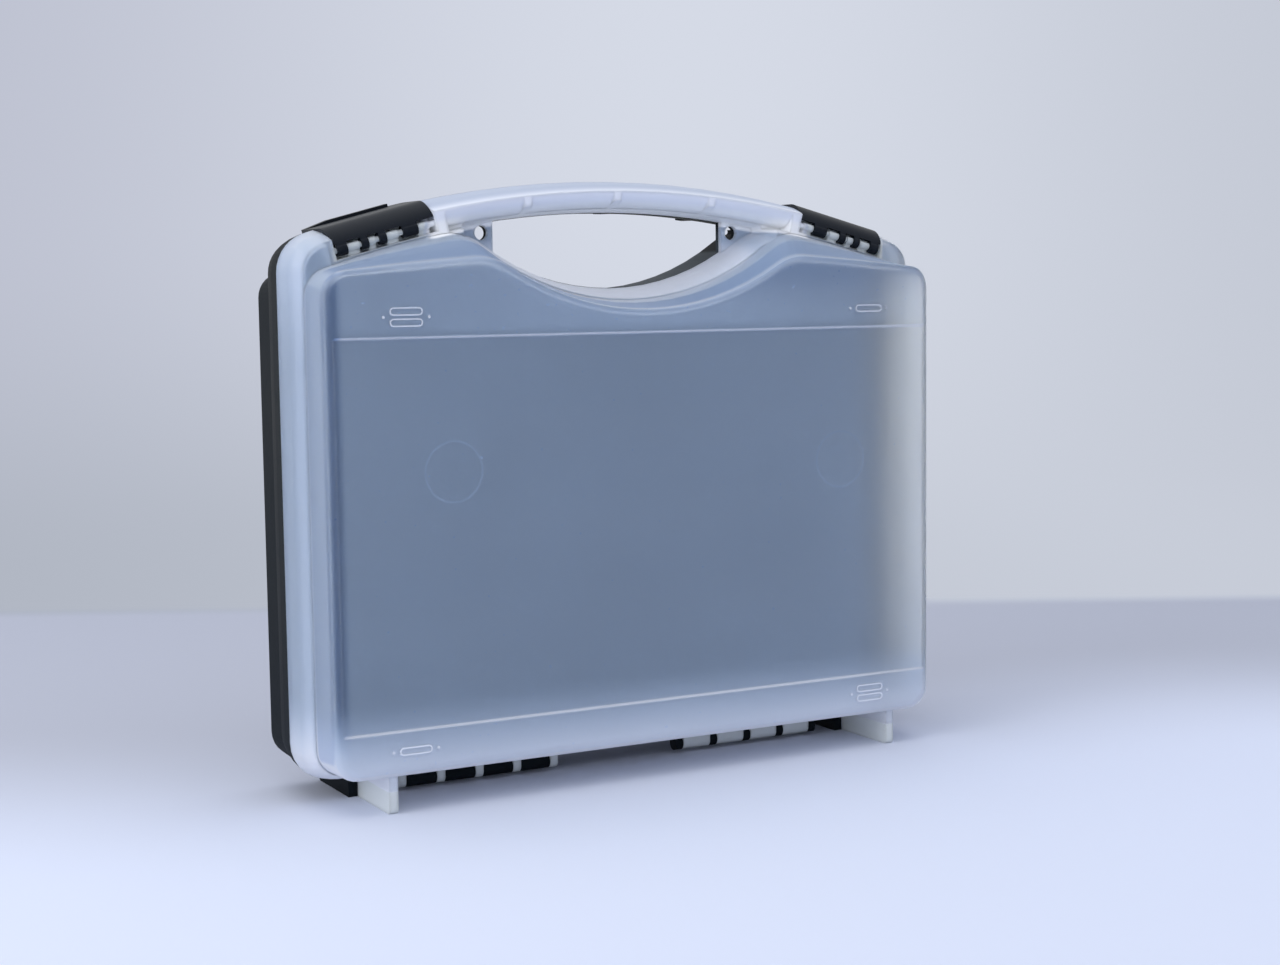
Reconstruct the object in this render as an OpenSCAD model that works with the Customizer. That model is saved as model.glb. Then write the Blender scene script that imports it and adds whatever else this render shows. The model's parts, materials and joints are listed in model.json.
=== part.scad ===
/* [Case body] */
// Width of the closed case across the parting line
case_w = 340; // [320:1:360]
// Height from the floor to the top of the grip
case_h = 289; // [275:1:310]
// Depth of one half, from the parting plane to its flat face
half_depth = 43.6; // [41:0.2:56]
// Height of the case's bottom edge above the floor
floor_gap = 10.4; // [10.2:0.1:14]
// Radius of the case's four corners at the parting line
corner_r = 19; // [17:0.5:24]
// Radius of the long arc that crowns the case, grip and latches
crown_r = 500; // [480:5:600]
// Wall thickness of both mouldings
wall = 2.2; // [1.8:0.1:2.6]
// Gap between the two halves at the parting plane
seam_gap = 0.2; // [0.1:0.05:0.4]

/* [Rim band] */
// Depth of the rim band, from the parting plane to the groove
band_depth = 20.6; // [20.6:0.2:24]
// Draft of the lid's band at the parting plane, in degrees
band_draft = 4.5; // [3.5:0.5:5]
// Radius of the crowned section of the lid's band, from the parting plane to the groove
band_curve_r = 57; // [55:1:65]
// Draft of the base's band at the parting plane, in degrees
base_draft = 3; // [2.5:0.5:4.5]
// Radius of the crowned section of the base's band
base_curve_r = 110; // [80:1:120]
// Width of the groove between the band and the raised panel
groove_w = 0.6; // [0.4:0.1:1]
// Depth of that groove
groove_depth = 1; // [0.5:0.1:1.2]

/* [Raised panel] */
// Distance from the crown down to the panel's shoulder
shoulder_drop = 15.4; // [15:0.2:17]
// Draft of the panel's side walls, as a distance over their depth
panel_draft = 0.5; // [0.2:0.1:1]
// Radius of the edge around the flat face
panel_edge_r = 5; // [4:0.2:6]
// Distance from the crown down to the flat face's top edge
face_drop = 38; // [35:0.5:42]
// Radius of the flat face's top edge, which is nearly straight
face_top_r = 2300; // [1800:100:3000]
// Radius of the flat face's dip under the finger gap
face_dip_r = 140; // [134:1:150]
// Distance from the finger gap down to the flat face's dip
face_dip_drop = 11; // [9:0.5:13]
// Radius where the flat face's dip rolls over into its top edge
face_roll_r = 28; // [22:1:34]
// Radius of the panel's corners at the groove
panel_corner_r = 13.4; // [12:0.2:16]
// Height of the label field's bottom edge above the floor
field_low = 38.4; // [34:0.2:50]
// Distance from the crown down to the label field's top edge
field_drop = 72.8; // [70:0.2:110]
// Margin from the label field's ends to the case's sides
field_margin = 10.6; // [10:0.2:20]
// How far the label field is sunk in the flat face
field_sink = 0.8; // [0.4:0.1:1]

/* [Grip] */
// Height of the grip at its middle, at the parting plane
grip_h = 15.2; // [14.6:0.2:16]
// Radius of the grip's underside
grip_under_r = 450; // [430:5:480]
// Clear height of the finger gap at its middle
gap_h = 36.5; // [34:0.5:38]
// Radius of the finger gap's bottom edge
gap_r = 123.5; // [120:0.5:126]
// Radius where the gap's bottom edge rolls over into the shoulder
gap_roll_r = 26; // [22:1:30]
// Draft of the finger gap's wall in the base, in degrees
gap_draft = 1; // [0.5:0.5:3]
// Radius of the gap's two ends at the parting plane
gap_tip_r = 1.2; // [1:0.1:1.6]
// Radius of the rounding at the finger scallops
scallop_r = 11; // [10.5:0.1:11.5]
// Step from the finger gap's wall up to that rounding's lowest line
scallop_step = 0.5; // [0.3:0.1:0.8]
// Distance of that rounding's centre from the parting plane
scallop_at = 10.2; // [9.8:0.1:10.6]
// Wall thickness around the finger gap
grip_wall = 2.6; // [2.4:0.1:3]
// Distance from a latch's inner end to the end of the outer scallop beside it
scallop_off = 5.7; // [5:0.1:12]
// Width of the bridge between two scallops
bridge_w = 4; // [3:0.5:6]
// Places of the bridges along the grip, from the case's middle
bridge_at = [-53.2, -4.8, 48.3]; // [-80:0.1:80]

/* [Padlock webs] */
// Distance between the two webs, edge to edge
web_span = 126.6; // [122:0.2:128]
// Thickness of one web
web_t = 2.6; // [2:0.1:4]
// Radius of a padlock hole
lock_r = 3.5; // [2.5:0.1:3.6]
// Distance between the two padlock holes
lock_span = 138.2; // [136:0.2:140]
// Height of the padlock holes above the gap's bottom edge
lock_rise = 26.8; // [26.4:0.1:27.2]

/* [Latches] */
// Length of a latch
latch_len = 51; // [50.6:0.1:52]
// Distance from the case's side to the middle of a latch
latch_inset = 42.8; // [42:0.2:44]
// Depth of a latch below the crown, which keeps it flush at its ends
latch_sink = 0.3; // [0:0.1:0.6]
// Thickness of a latch's plate
latch_t = 2.4; // [2:0.1:2.6]
// Radius of a latch's bent front
latch_bend_r = 13.5; // [13:0.1:13.9]
// Distance that a latch reaches over the other half
latch_reach = 16; // [15.6:0.1:17]
// Length of a latch's lip behind the other half's catch
lip_len = 8.6; // [8:0.1:8.8]
// Thickness of that lip
lip_t = 2; // [1.6:0.1:2.2]
// Height of the lip's nose
nose_h = 1.2; // [0.8:0.1:1.4]
// Length of the lip's nose
nose_len = 1.3; // [1:0.1:1.4]
// Height of the finger ridge along a latch's free edge
ridge_h = 1.4; // [0.8:0.1:2]
// Width of that ridge
ridge_w = 4; // [3:0.5:5]
// Length of that ridge, from the latch's outer end
ridge_len = 43; // [20:1:44]
// Length over which the ridge rises from the latch's outer end
ridge_rise_len = 12; // [6:1:16]
// Radius of the rounding at a latch's inner end
latch_round_r = 6; // [3:0.5:8]
// Starts of the lid's lugs along a latch, from the latch's middle
lug_at = [-22.5, -6.7, 4.8, 12.8]; // [-25:0.1:25]
// Lengths of those lugs
lug_len = [5.8, 6, 3.5, 6]; // [2:0.1:8]
// Lengths of the latch's hooks, one beyond each lug
hook_len = [7.5, 3.5, 3.3, 5]; // [2:0.1:9]
// Radius of the moulded bar that a latch turns on
pivot_r = 1.4; // [1.2:0.05:1.5]
// Outer radius of a latch's hook
latch_hook_r = 2.9; // [2.7:0.05:2.9]
// How much narrower a hook's mouth is than the bar that snaps into it
snap_bite = 0.4; // [0.2:0.1:0.6]
// Outer radius of a lug around the bar
lug_r = 1.9; // [1.7:0.1:2]
// Distance of that bar below the latch's top
pivot_drop = 11; // [10.8:0.1:11.4]
// Distance of that bar from the parting plane
pivot_depth = 17.6; // [17.4:0.1:17.7]
// Distance of the seat's front wall from the parting plane
seat_depth = 12.4; // [12:0.1:12.5]
// Clearance under a latch's plate
seat_gap = 0.4; // [0.2:0.1:0.6]
// Distance that the catch stands out from the seat's front wall
catch_w = 0.9; // [0.7:0.1:0.9]
// Height of the catch
catch_h = 1.4; // [1:0.1:1.6]
// Length of the catch
catch_len = 38; // [20:1:46]
// Distance of the catch's lower edge below the latch's top
catch_drop = 7.2; // [6.8:0.1:7.2]

/* [Hinge] */
// Height of the hinge's axis above the floor
hinge_h = 5; // [4.6:0.1:5]
// Outer radius of a hinge hook and of a hinge rib
knuckle_r = 3.5; // [3.2:0.1:3.8]
// Radius of the moulded hinge bar
bar_r = 1.6; // [1.4:0.1:1.9]
// Number of hinge hooks on each half
hooks = 4; // [2:1:4]
// Width of a hinge hook
knuckle_w = 15.6; // [12:0.2:16]
// Pitch of the hinge hooks
knuckle_pitch = 20.1; // [19.6:0.1:21]
// Distance from the case's middle to the first hook
knuckle_start = 38; // [20:1:40]
// Opening in a hook that lets the bar snap in
snap_w = 2.6; // [2:0.1:2.8]
// Running clearance around the bars of the hinge and the latches
running_gap = 0.06; // [0.03:0.01:0.1]
// Side clearance between neighbouring hooks, ribs, lugs and feet
side_gap = 0.2; // [0.1:0.05:0.3]

/* [Feet] */
// Thickness of a foot
foot_t = 4.4; // [3:0.1:5]
// Distance from the case's side to the line where a pair of feet meets
foot_inset = 32.5; // [28:0.5:40]
// Distance that a foot reaches from the parting plane
foot_len = 40.5; // [30:0.5:41]
// Radius of a foot's lower outer corner
foot_r = 2; // [1:0.5:3]

/* [Relief marks] */
// Length of a relief mark's slot shape
mark_len = 16; // [12:0.5:18]
// Height of a relief mark's slot shape
mark_h = 3.8; // [3:0.1:4.4]
// Width of the line that draws it
mark_line = 0.7; // [0.4:0.1:1]
// Pitch of two relief marks set one above the other
mark_pitch = 5; // [4.6:0.1:6]
// Distance from the case's side to a mark's middle
mark_inset = 45; // [40:0.5:60]
// Distance from the label field's edge to a mark's middle
mark_off = 9.3; // [8.6:0.1:11]
// Distance from a mark's middle to the dot at its end
mark_dot_at = 11; // [10:0.1:12]
// Height of a relief mark above the face
mark_rise = 0.4; // [0.2:0.1:0.6]

/* [Foam] */
// Clearance between the foam and the moulding around it
foam_gap = 0.4; // [0.3:0.1:1]
// Distance from the foam's face to the parting plane
foam_sink = 0.6; // [0.4:0.1:2]
// Number of knife pockets
pockets = 4; // [2:1:4]
// Height of the lowest pocket's middle above the floor
pocket_low = 48; // [44:1:56]
// Distance from the crown down to the highest pocket's middle
pocket_drop = 97; // [92:1:110]
// Distance from the case's side to either end of the lowest pocket
pocket_inset = 20; // [16:1:40]
// Length that each pocket loses to the one below it
pocket_step = 34; // [10:1:40]
// Length of the handle's part of a pocket
handle_len = 118; // [90:1:125]
// Height of the handle's part of a pocket
handle_h = 26; // [20:1:30]
// Height of the blade's part of a pocket at its heel
blade_h = 36; // [20:1:38]
// Height of the blade's part at its tip
blade_tip_h = 4; // [2:0.5:8]
// Share of the blade's part that keeps its full height
edge_share = 0.7; // [0.5:0.05:0.8]

/* [Hidden] */
$fn = 48;

black = [0.13, 0.14, 0.15];
frosted = [0.70, 0.75, 0.85];
foam_black = [0.10, 0.10, 0.11];

cut = 1;
fuse = 0.1;
root = 0.5;
edge_steps = 4;
corner_steps = 7;
crown_steps = 9;
dip_steps = 8;
roll_steps = 4;
tip_steps = 5;
under_steps = 7;
top_steps = 4;
round_steps = 3;

half_w = case_w / 2;
seam = seam_gap / 2;
crown_y = case_h - crown_r;
shoulder_cr = crown_r - shoulder_drop;
gap_low = case_h - grip_h - gap_h;
gap_y = gap_low + gap_r;
under_y = case_h - grip_h - grip_under_r;
lock_y = gap_low + lock_rise;
foot_x = half_w - foot_inset;
mark_x = half_w - mark_inset;
field_high = case_h - field_drop;
pocket_len = case_w - 2 * pocket_inset;
pocket_pitch = (case_h - pocket_drop - pocket_low) / max(pockets - 1, 1);
latch_x = half_w - latch_inset;
latch_y = crown_y + sqrt(crown_r * crown_r - latch_x * latch_x) - latch_sink;
latch_tilt = asin(latch_x / crown_r);
scallop_end = latch_x - latch_len / 2 - scallop_off;
plate_low = pivot_drop - latch_hook_r;
latch_front = pivot_depth + latch_hook_r;
bend_depth = latch_front - latch_bend_r;

function arc(c, r, a0, a1, n, first = 0) =
    [for (i = [first : n]) let (a = a0 + (a1 - a0) * i / n) [c[0] + r * cos(a), c[1] + r * sin(a)]];

function mix(a, b, t) = a + (b - a) * t;

// How far the band's wall has drawn in at a depth from the parting plane; $base is true for the base
function inset_at(depth) = $base
    ? depth * tan(base_draft) + depth * depth / (2 * base_curve_r)
    : depth * tan(band_draft) + depth * depth / (2 * band_curve_r);
function band_inset() = inset_at(band_depth);

// The same for the finger gap's wall
function gap_inset_at(depth) = $base ? depth * tan(gap_draft) : inset_at(depth);

// A whole outline from its right half, which ends on the middle line
function both_sides(right) =
    concat(right, [for (i = [len(right) - 1 : -1 : 0]) if (right[i][0] > fuse) [-right[i][0], right[i][1]]]);

// The rim's outline, drawn in by s: bottom corner, top corner, crown
function rim_outline(s) =
    let (r = corner_r - s)
    let (cx = half_w - corner_r)
    let (cy = crown_y + sqrt(pow(crown_r - corner_r, 2) - cx * cx))
    let (a = atan2(cy - crown_y, cx))
    both_sides(concat(arc([cx, floor_gap + corner_r], r, -90, 0, corner_steps),
        arc([cx, cy], r, 0, a, corner_steps),
        arc([0, crown_y], crown_r - s, a, 90, crown_steps, 1)));

// Centre of a circle of radius r that sits outside circle a and inside circle b
function roll_centre(ay, ar, by, br, r) =
    let (near = pow(ar + r, 2))
    let (far = pow(br - r, 2))
    let (y = (far - near + ay * ay - by * by) / (2 * (ay - by)))
    [sqrt(far - pow(y - by, 2)), y];

// The finger gap's roll and tip are found once; wider outlines run parallel to them
gap_roll = roll_centre(gap_y, gap_r, crown_y, shoulder_cr, gap_roll_r);
gap_tip = meeting(gap_roll, gap_roll_r + gap_tip_r, [0, under_y], grip_under_r - gap_tip_r);

// Where two circles meet, on the side nearer the middle
function meeting(c1, r1, c2, r2) =
    let (v = c2 - c1)
    let (d = norm(v))
    let (a = (r1 * r1 - r2 * r2 + d * d) / (2 * d))
    let (h = sqrt(max(r1 * r1 - a * a, 0)))
    let (m = c1 + v * a / d)
    let (n = [-v[1], v[0]] / d)
    let (p = m + n * h)
    let (q = m - n * h)
    p[0] < q[0] ? p : q;

function gap_outline(s) =
    let (c = atan2(gap_roll[1] - gap_y, gap_roll[0]))
    let (e = atan2(gap_tip[1] - gap_roll[1], gap_tip[0] - gap_roll[0]))
    let (f = atan2(gap_tip[1] - under_y, gap_tip[0]))
    both_sides(concat(arc([0, gap_y], gap_r + s, -90, c, dip_steps),
        arc(gap_roll, gap_roll_r - s, 180 + c, e, roll_steps, 1),
        arc(gap_tip, gap_tip_r + s, e - 180, f, tip_steps, 1),
        arc([0, under_y], grip_under_r + s, f, 90, under_steps, 1)));

// An outline whose top arc rolls down into a dip: corners, top, roll, dip
function dipped_outline(side, r, top_at, top_r, dip_low, dip_r, roll_r, t) =
    let (top_y = top_at - top_r)
    let (dip_y = dip_low + dip_r)
    let (cx = half_w - side - r)
    let (cy = top_y + sqrt(pow(top_r - r, 2) - cx * cx))
    let (a = atan2(cy - top_y, cx))
    let (roll = roll_centre(dip_y, dip_r, top_y, top_r, roll_r))
    let (b = atan2(roll[1] - top_y, roll[0]))
    let (c = atan2(roll[1] - dip_y, roll[0]))
    both_sides(concat(arc([cx, floor_gap + side + r], r - t, -90, 0, corner_steps),
        arc([cx, cy], r - t, 0, a, corner_steps),
        arc([0, top_y], top_r - t, a, b, top_steps, 1),
        arc(roll, roll_r - t, b, 180 + c, roll_steps, 1),
        arc([0, dip_y], dip_r + t, c, -90, dip_steps, 1)));

// The panel's outline at a side inset, at a share u of the way from the groove to the flat face
function panel_outline(side, u, t) =
    dipped_outline(side, panel_corner_r - (side - band_inset()),
        mix(case_h - shoulder_drop - groove_w, case_h - face_drop, u),
        1 / mix(1 / shoulder_cr, 1 / face_top_r, u),
        mix(gap_low - band_inset() - groove_w, gap_low - face_dip_drop, u),
        mix(gap_r + band_inset() + groove_w, face_dip_r, u),
        mix(gap_roll_r - band_inset() - groove_w, face_roll_r, u), t);

// Triangles across an outline: a fan from its first point, or rungs between its two sides
function fan(n) = [for (j = [1 : n - 2]) [0, j, j + 1]];
function rungs(n) = concat([[0, 1, n - 1]],
    [for (j = [1 : n / 2 - 1]) [j, j + 1, n - j]],
    [for (j = [1 : n / 2 - 2]) [j + 1, n - j - 1, n - j]]);

// A closed solid through a stack of outlines that all have as many points
module loft(outlines, depths, cap) {
    n = len(outlines[0]);
    m = len(outlines);
    points = [for (k = [0 : m - 1]) for (p = outlines[k]) [p[0], p[1], depths[k]]];
    lower = [for (k = [0 : m - 2]) for (j = [0 : n - 1])
        [k * n + j, (k + 1) * n + j, (k + 1) * n + (j + 1) % n]];
    upper = [for (k = [0 : m - 2]) for (j = [0 : n - 1])
        [k * n + j, (k + 1) * n + (j + 1) % n, k * n + (j + 1) % n]];
    high = [for (f = cap) [f[2], f[1], f[0]] + [1, 1, 1] * (m - 1) * n];
    polyhedron(points, concat(lower, upper, cap, high), convexity = 6);
}

// Depths of the band's steps, from the parting plane to the groove
EDGE = [for (i = [0 : edge_steps]) max(band_depth * sqrt(i / edge_steps), seam)];

// Shares of the slope from the groove to the flat face: at the groove, at two steps and at the edge
slope_share = [0.02, 0.2, 0.5, 0.78];

// Depth, side inset and share of the slope at each of the panel's steps
side_end = half_depth - panel_edge_r;
function side_start() = band_inset() + groove_w;
function panel_steps() = concat(
    [for (i = [0 : 2])
        [mix(band_depth, side_end, i / 3), side_start() + panel_draft * i / 3, slope_share[i]]],
    [for (i = [0 : round_steps]) let (a = 90 * i / round_steps)
        [side_end + panel_edge_r * sin(a), side_start() + panel_draft + panel_edge_r * (1 - cos(a)),
            mix(slope_share[3], 1, 1 - cos(a))]]);

module band_slab(t, first) {
    loft([for (d = EDGE) rim_outline(inset_at(d) + t)],
        concat([first], [for (i = [1 : len(EDGE) - 1]) EDGE[i] - t]), fan(len(rim_outline(0))));
}

module panel_slab(t) {
    steps = panel_steps();
    loft([for (i = [0 : len(steps)]) panel_outline(steps[max(i - 1, 0)][1], steps[max(i - 1, 0)][2], t)],
        concat([band_depth - groove_depth - cut - t], [for (p = steps) p[0] - t]),
        fan(len(panel_outline(steps[0][1], 0, 0))));
}

// The finger gap as a solid, grown by t on all sides
module gap_solid(t) {
    loft([for (i = [0 : len(EDGE)]) gap_outline(gap_inset_at(EDGE[min(i, len(EDGE) - 1)]) + t)],
        concat([-cut], [for (i = [1 : len(EDGE) - 1]) EDGE[i] - t], [band_depth + cut]),
        rungs(len(gap_outline(0))));
}

module on_seat(side) {
    if (side > 0)
        translate([latch_x, latch_y, 0]) rotate([0, 0, -latch_tilt]) children();
    else
        mirror([1, 0, 0]) translate([latch_x, latch_y, 0]) rotate([0, 0, -latch_tilt]) children();
}

// A box along a latch: from u0, with v measured down from the latch's top, d from the parting plane
module seat_box(u0, u1, v0, v1, d0, d1) {
    translate([u0, -v1, d0]) cube([u1 - u0, v1 - v0, d1 - d0]);
}

module seat_rod(u0, u1, v, d, r) {
    translate([u0, -v, d]) rotate([0, 90, 0]) cylinder(r = r, h = u1 - u0);
}

// The space that a latch lies in, grown by t
module seat_space(t) {
    u = latch_len / 2 + side_gap + t;
    floor_drop = shoulder_drop - latch_sink + t;
    under = latch_t + seat_gap + t;
    seat_box(-u, u, -latch_bend_r, floor_drop, seat_depth - t, band_depth + cut);
    seat_box(-u, u, -latch_bend_r, under, -cut, bend_depth + cut);
    difference() {
        seat_box(-u, u, -latch_bend_r, latch_bend_r, bend_depth, seat_depth);
        seat_rod(-u - cut, u + cut, latch_bend_r, bend_depth, latch_bend_r - under);
    }
}

// Lugs, bar and catch of one seat
module seat_fittings() {
    u = latch_len / 2 + side_gap + cut;
    seat_rod(-u, u, pivot_drop, pivot_depth, pivot_r);
    for (i = [0 : len(lug_at) - 1]) {
        seat_rod(lug_at[i], lug_at[i] + lug_len[i], pivot_drop, pivot_depth, lug_r);
        seat_box(lug_at[i], lug_at[i] + lug_len[i], pivot_drop - lug_r, shoulder_drop + fuse,
            seat_depth - root, pivot_depth);
    }
    seat_box(-catch_len / 2, catch_len / 2, catch_drop - catch_h, catch_drop,
        seat_depth - root, seat_depth + catch_w);
}

module x_rod(x0, x1, r) {
    translate([x0, hinge_h, 0]) rotate([0, 90, 0]) cylinder(r = r, h = x1 - x0);
}

// A knuckle's arm up to the moulding's bottom wall
module arm(x0, x1) {
    translate([x0, hinge_h, side_gap + seam]) cube([x1 - x0, floor_gap - hinge_h + cut, knuckle_r - side_gap - seam]);
}

rib_w = knuckle_pitch - knuckle_w - 2 * side_gap;
rib_start = knuckle_start - side_gap - rib_w;

// The wide hooks on one side and the ribs with their bar on the other
module hinge_hooks() {
    for (i = [0 : hooks - 1]) {
        x = knuckle_start + i * knuckle_pitch;
        difference() {
            union() {
                x_rod(x, x + knuckle_w, knuckle_r);
                arm(x, x + knuckle_w);
            }
            x_rod(x - cut, x + knuckle_w + cut, bar_r + running_gap);
            translate([x - cut, hinge_h - knuckle_r - cut, -snap_w / 2])
                cube([knuckle_w + 2 * cut, knuckle_r + cut, snap_w]);
        }
    }
}

module hinge_ribs() {
    x_rod(-(rib_start + hooks * knuckle_pitch + rib_w), -rib_start, bar_r);
    for (i = [0 : hooks]) {
        x = -(rib_start + i * knuckle_pitch + rib_w);
        x_rod(x, x + rib_w, knuckle_r);
        arm(x, x + rib_w);
    }
}

module foot(x) {
    foot_top = floor_gap + side_start() + wall / 2;
    translate([x, 0, seam]) cube([foot_t, foot_top, foot_len - foot_r - seam]);
    translate([x, foot_r, foot_len - foot_r - cut]) cube([foot_t, foot_top - foot_r, foot_r + cut]);
    translate([x, foot_r, foot_len - foot_r]) rotate([0, 90, 0]) cylinder(r = foot_r, h = foot_t);
}

module slot_shape(l, h) {
    square([l - h, h], center = true);
    for (s = [-1, 1]) translate([s * (l - h) / 2, 0]) circle(d = h);
}

// One relief mark: a drawn slot with a dot at each end, or two slots one above the other
module mark(rows) {
    linear_extrude(height = mark_rise + fuse) {
        for (i = [0 : rows - 1]) translate([0, (i - (rows - 1) / 2) * mark_pitch]) difference() {
            slot_shape(mark_len, mark_h);
            slot_shape(mark_len - 2 * mark_line, mark_h - 2 * mark_line);
        }
        for (s = [-1, 1]) translate([s * mark_dot_at, 0]) circle(r = mark_line);
    }
}

module marks() {
    high = field_high + mark_off;
    low = field_low - mark_off;
    for (s = [-1, 1]) {
        translate([s * mark_x, high, half_depth - fuse]) mark(s < 0 ? 2 : 1);
        translate([s * mark_x, low, half_depth - fuse]) mark(s < 0 ? 1 : 2);
    }
}

module label_field() {
    translate([-half_w + field_margin, field_low, half_depth - field_sink])
        cube([case_w - 2 * field_margin, field_high - field_low, field_sink + cut]);
}

// A finger scallop, grown by t: the grip's lower front edge takes a larger rounding between two ends
module scallop(x0, x1, t) {
    low_r = grip_under_r - fuse - t;
    centre_r = grip_under_r + gap_inset_at(scallop_at) + scallop_step + scallop_r;
    a0 = acos((x1 + t) / centre_r);
    a1 = acos((x0 - t) / centre_r);
    translate([0, under_y, 0]) rotate([0, 0, a0]) rotate_extrude(angle = a1 - a0, $fn = 96) difference() {
        translate([low_r, scallop_at - t]) square([centre_r - low_r, band_depth - scallop_at + cut + t]);
        translate([centre_r, scallop_at]) circle(r = scallop_r - t);
    }
}

SCALLOP_ENDS = concat([-scallop_end - bridge_w / 2], bridge_at, [scallop_end + bridge_w / 2]);

module scallops(t) {
    for (i = [0 : len(SCALLOP_ENDS) - 2])
        scallop(SCALLOP_ENDS[i] + bridge_w / 2, SCALLOP_ENDS[i + 1] - bridge_w / 2, t);
}

// Everything outside the case's inner wall
module half_outside() {
    difference() {
        band_slab(0, seam);
        translate([0, 0, band_depth - groove_depth])
            linear_extrude(height = groove_depth + cut) polygon(panel_outline(band_inset(), 0, 0));
    }
    panel_slab(0);
    foot(-foot_x + side_gap / 2);
    foot(foot_x + side_gap / 2);
}

// The hollow inside the band: it leaves a wall around the finger gap, the scallops and the latch seats
module band_hollow() {
    difference() {
        band_slab(wall, -cut);
        gap_solid(grip_wall);
        scallop(-scallop_end, scallop_end, wall);
        for (s = [-1, 1]) on_seat(s) seat_space(wall);
    }
}

module web_box(s) {
    x = s > 0 ? web_span / 2 : -half_w;
    translate([x, gap_low, -2 * cut]) cube([half_w - web_span / 2, case_h - gap_low, web_t + 2 * cut]);
}

// One half's moulding, lying in its own plane: the parting plane below, the flat face above
module half_shell() {
    difference() {
        half_outside();
        band_hollow();
        panel_slab(wall);
        difference() {
            gap_solid(0);
            for (s = [-1, 1]) web_box(s);
        }
        for (s = [-1, 1]) {
            on_seat(s) seat_space(0);
            translate([s * lock_span / 2, lock_y, -cut]) cylinder(r = lock_r, h = web_t + 2 * cut);
        }
        scallops(0);
        label_field();
    }
    for (s = [-1, 1]) on_seat(s) seat_fittings();
    hinge_hooks();
    hinge_ribs();
    marks();
}

module base_shell() {
    $base = true;
    color(black) rotate([90, 0, 180]) half_shell();
}

module lid_shell() {
    $base = false;
    color(frosted) rotate([90, 0, 0]) half_shell();
}

// Plate, bent front, lip and hooks of one latch, its top at v 0
module latch() {
    u = latch_len / 2;
    difference() {
        seat_box(-u, u, 0, latch_t, -latch_reach, bend_depth);
        translate([-u, 0, -latch_reach]) inner_corner();
    }
    bend(-u, u, plate_low);
    seat_box(-u + latch_round_r, u, latch_t - fuse, lip_len, -latch_reach, -latch_reach + lip_t);
    seat_box(-catch_len / 2, catch_len / 2, lip_len - nose_h, lip_len,
        -latch_reach + lip_t - fuse, -latch_reach + lip_t + nose_len);
    translate([u, 0, -latch_reach]) linear_extrude(height = ridge_w)
        polygon([[-ridge_len, -fuse], [0, -fuse], [0, 0], [-ridge_rise_len, ridge_h], [-ridge_len, ridge_h]]);
    for (i = [0 : len(lug_at) - 1]) {
        start = lug_at[i] + lug_len[i] + side_gap;
        latch_hook(start, start + hook_len[i]);
    }
}

// A latch's bent plate, from its top down to v_end
module bend(u0, u1, v_end) {
    difference() {
        seat_rod(u0, u1, latch_bend_r, bend_depth, latch_bend_r);
        seat_rod(u0 - cut, u1 + cut, latch_bend_r, bend_depth, latch_bend_r - latch_t);
        seat_box(u0 - cut, u1 + cut, v_end, 3 * latch_bend_r, -latch_bend_r, latch_front + cut);
        seat_box(u0 - cut, u1 + cut, -cut, 3 * latch_bend_r, bend_depth - 2 * latch_bend_r, bend_depth);
    }
}

// The rounding cut off a latch's inner rear corner
module inner_corner() {
    difference() {
        translate([-cut, -latch_t - cut, -cut])
            cube([latch_round_r + cut, latch_t + 2 * cut, latch_round_r + cut]);
        translate([latch_round_r, cut, latch_round_r]) rotate([90, 0, 0])
            cylinder(r = latch_round_r, h = latch_t + 4 * cut);
    }
}

module latch_hook(u0, u1) {
    mouth = 2 * pivot_r - snap_bite;
    difference() {
        union() {
            seat_rod(u0, u1, pivot_drop, pivot_depth, latch_hook_r);
            bend(u0, u1, pivot_drop);
        }
        seat_rod(u0 - cut, u1 + cut, pivot_drop, pivot_depth, pivot_r + running_gap);
        seat_box(u0 - cut, u1 + cut, pivot_drop - mouth / 2, pivot_drop + mouth / 2,
            pivot_depth - latch_hook_r - cut, pivot_depth);
    }
}

module left_latch() {
    color(black) rotate([90, 0, 0]) on_seat(-1) latch();
}

module right_latch() {
    color(black) rotate([90, 0, 0]) on_seat(1) latch();
}

// A pocket in the outline of a knife: a rounded handle and a blade that runs out to a point
module pocket(l, y, side) {
    blade_len = l - handle_len;
    translate([-side * l / 2, y]) mirror([side < 0 ? 1 : 0, 0, 0]) {
        translate([handle_len / 2, 0]) slot_shape(handle_len, handle_h);
        translate([handle_len - handle_h / 2, -blade_h / 2])
            square([handle_h / 2, blade_h]);
        translate([handle_len, 0]) polygon([[-fuse, -blade_h / 2], [blade_len * edge_share, -blade_h / 2],
            [blade_len, blade_h / 2 - blade_tip_h], [blade_len, blade_h / 2], [-fuse, blade_h / 2]]);
    }
}

// Foam outline at one of the panel's steps, clear of the moulding
function foam_outline(p) = panel_outline(p[1], p[2], wall + foam_gap);
function foam_depth(p) = p[0] - wall - foam_gap;

module foam_tray() {
    $base = true;
    steps = panel_steps();
    color(foam_black) rotate([90, 0, 180]) difference() {
        loft([foam_outline(steps[0]), foam_outline(steps[0]), foam_outline(steps[1])],
            [foam_sink, foam_depth(steps[0]), foam_depth(steps[1])], fan(len(foam_outline(steps[0]))));
        for (i = [0 : pockets - 1]) translate([0, 0, foam_sink - cut])
            linear_extrude(height = foam_depth(steps[1]) - foam_sink + 2 * cut)
                pocket(pocket_len - i * pocket_step, pocket_low + i * pocket_pitch, i % 2 == 0 ? 1 : -1);
    }
}

module foam_backing() {
    $base = true;
    steps = panel_steps();
    color(foam_black) rotate([90, 0, 180])
        loft([for (i = [1 : len(steps) - 1]) foam_outline(steps[i])],
            [for (i = [1 : len(steps) - 1]) foam_depth(steps[i])], fan(len(foam_outline(steps[0]))));
}

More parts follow.
